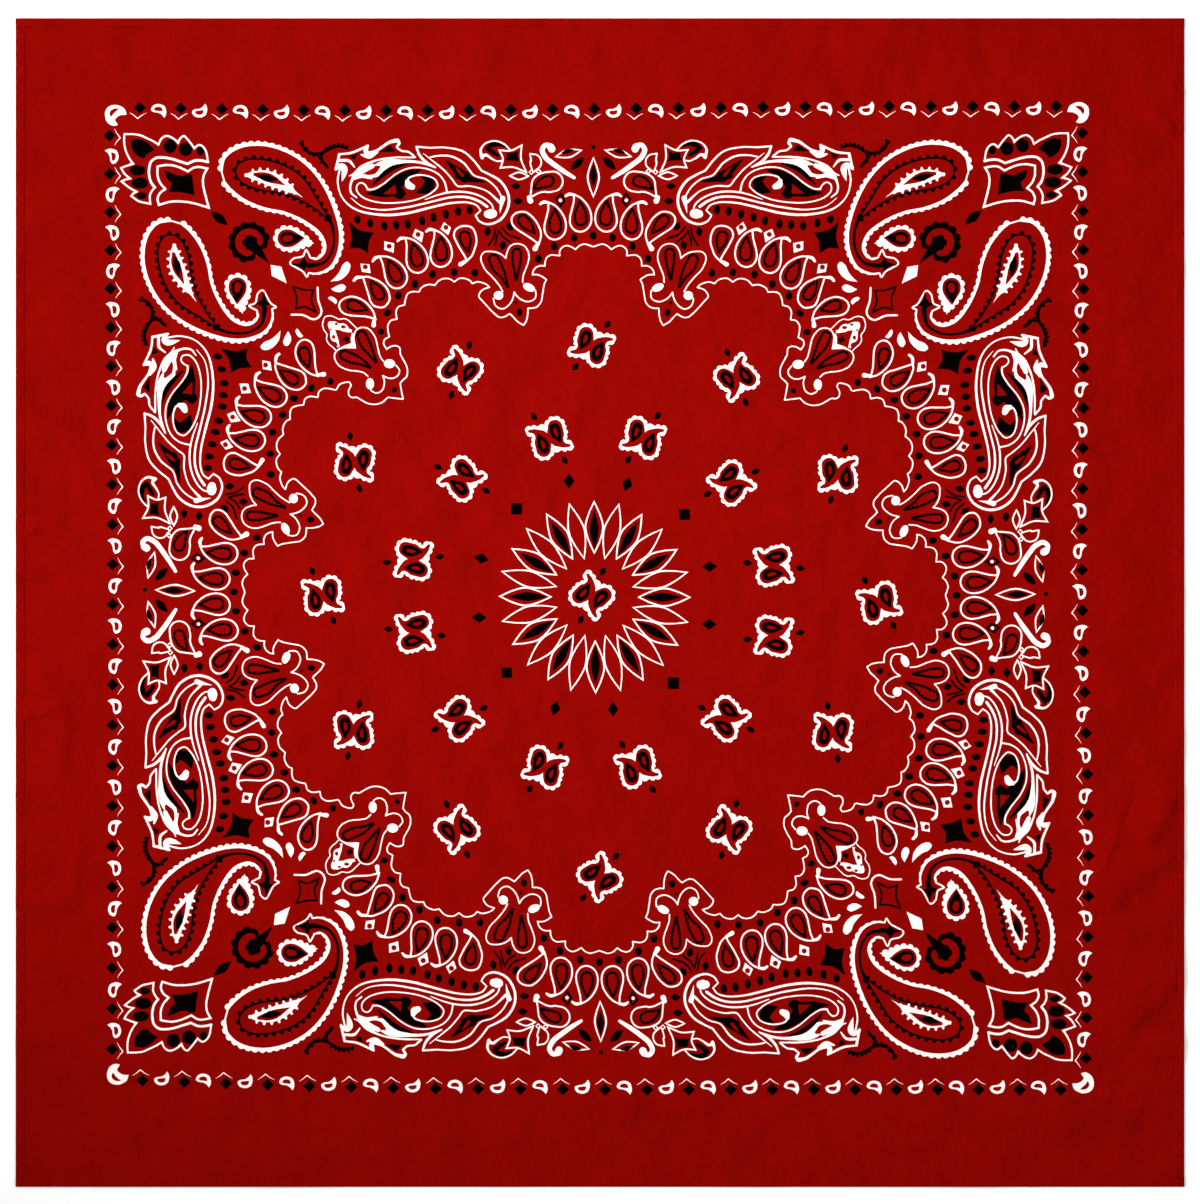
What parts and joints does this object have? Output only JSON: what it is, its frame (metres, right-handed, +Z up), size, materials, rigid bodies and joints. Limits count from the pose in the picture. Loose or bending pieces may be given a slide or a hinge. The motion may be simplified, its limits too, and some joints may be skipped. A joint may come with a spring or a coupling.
{
  "type": "bandana",
  "caption": "Square cotton bandana laid flat and opened out, red with a white and black paisley print, a narrow sewn hem on each edge and a few soft folds.",
  "frame": {"origin": "middle of the square on the underside, on the surface the cloth lies on", "axes": "+Z up out of the printed face, +Y towards the edge at the top of the picture, +X to its right edge"},
  "size_m": [0.559, 0.559, 0.0037],
  "materials": {
    "printed_cotton": "plain woven cotton, dyed red and printed in white and black, matte",
    "hem_cotton": "plain woven red cotton, folded over and stitched, matte"
  },
  "bodies": {
    "root": {"cloth_panel": "printed_cotton", "hem_top": "hem_cotton", "hem_left": "hem_cotton", "hem_bottom": "hem_cotton", "hem_right": "hem_cotton"}
  },
  "joints": []
}
